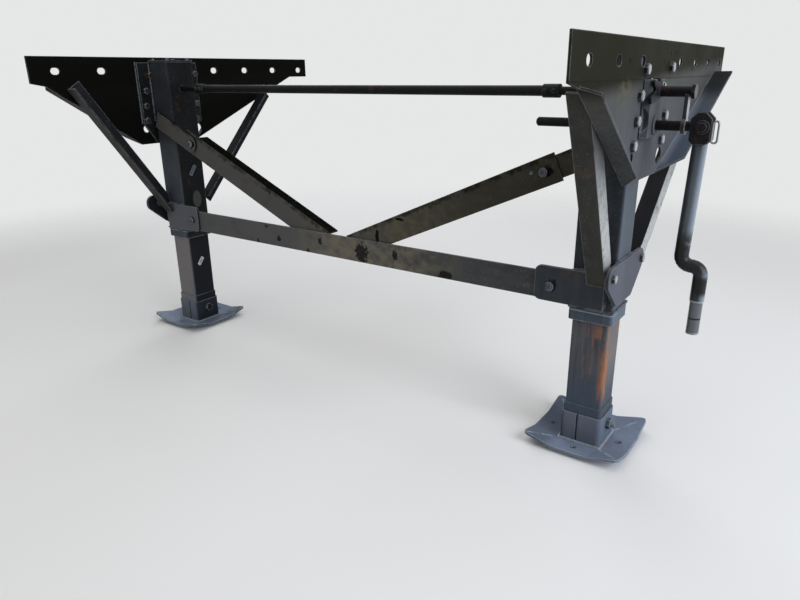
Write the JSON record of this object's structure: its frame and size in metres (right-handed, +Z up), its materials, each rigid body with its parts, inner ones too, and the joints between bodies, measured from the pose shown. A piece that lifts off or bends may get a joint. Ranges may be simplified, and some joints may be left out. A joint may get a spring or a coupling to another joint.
{
  "type": "semi-trailer landing gear",
  "caption": "Telescoping support legs of a semi trailer on slotted hanger plates, with braces, a cross shaft and a folding hand crank on the road side.",
  "frame": {"origin": "on the floor under the axis of the leg with the crank, in the middle of its shoe's sole", "axes": "+X outboard from that leg, +Y to the trailer's rear, +Z up; the other leg stands at -X"},
  "size_m": [2.2275, 1.392, 1.12],
  "materials": {
    "gear_paint": "weathered charcoal paint",
    "plate_paint": "worn grey paint",
    "foot_paint": "worn blue-grey paint with rust",
    "bolt_steel": "dull plated steel",
    "shaft_steel": "dull dark steel",
    "crank_steel": "worn steel",
    "cast_steel": "rough, brown-black",
    "grip_paint": "scuffed dark paint",
    "loop_zinc": "bright zinc wire"
  },
  "bodies": {
    "frame_gear": {"back_plate_curb": "plate_paint", "back_plate_road": "plate_paint", "brace_gusset_curb": "gear_paint", "brace_gusset_road": "gear_paint", "cross_bar": "gear_paint", "diagonal_brace_curb": "gear_paint", "diagonal_brace_road": "gear_paint", "front_brace_curb": "gear_paint", "front_brace_road": "gear_paint", "gearbox_cover": "gear_paint", "hanger_plate_curb": "plate_paint", "hanger_plate_road": "plate_paint", "leg_collar_curb": "gear_paint", "leg_collar_road": "gear_paint", "lower_bracket_curb": "gear_paint", "lower_bracket_road": "gear_paint", "outer_tube_curb": "gear_paint", "outer_tube_road": "gear_paint", "rear_brace_curb": "gear_paint", "rear_brace_road": "gear_paint", "support_arm": "crank_steel", "support_link": "crank_steel", "top_cap_curb": "gear_paint", "top_cap_road": "gear_paint", "upper_bracket_curb": "gear_paint", "upper_bracket_road": "gear_paint"},
    "leg_road": {"inner_tube_road": "foot_paint", "shoe_pad_road": "foot_paint", "shoe_socket_road": "foot_paint", "shoe_bolt_road": "bolt_steel"},
    "leg_curb": {"inner_tube_curb": "foot_paint", "shoe_pad_curb": "foot_paint", "shoe_socket_curb": "foot_paint", "shoe_bolt_curb": "bolt_steel"},
    "crank": {"crank_shaft": "crank_steel"},
    "handle": {"handle_head": "cast_steel", "handle_pin": "bolt_steel", "handle_tube": "crank_steel", "handle_grip": "grip_paint", "stow_loop": "loop_zinc"},
    "shaft": {"cross_shaft": "shaft_steel"}
  },
  "joints": [
    {"name": "leg_road_slide", "type": "slide", "parent": "frame_gear", "child": "leg_road", "axis": [0, 0, 1], "range_m": [-0.2, 0.22]},
    {"name": "leg_curb_slide", "type": "slide", "parent": "frame_gear", "child": "leg_curb", "axis": [0, 0, 1], "range_m": [-0.2, 0.22]},
    {"name": "crank_spin", "type": "hinge", "parent": "frame_gear", "child": "crank", "pos_m": [0, 0, 0.92], "axis": [1, 0, 0], "continuous": true},
    {"name": "handle_fold", "type": "hinge", "parent": "crank", "child": "handle", "pos_m": [0.212, 0, 0.92], "axis": [0, -1, 0], "range_deg": [0, 90]},
    {"name": "cross_shaft_spin", "type": "hinge", "parent": "frame_gear", "child": "shaft", "pos_m": [0, 0, 1], "axis": [1, 0, 0], "continuous": true}
  ],
  "couplings": [
    {"joint": "leg_curb_slide", "follows": "leg_road_slide", "ratio": 1},
    {"joint": "cross_shaft_spin", "follows": "crank_spin", "ratio": -0.25}
  ]
}
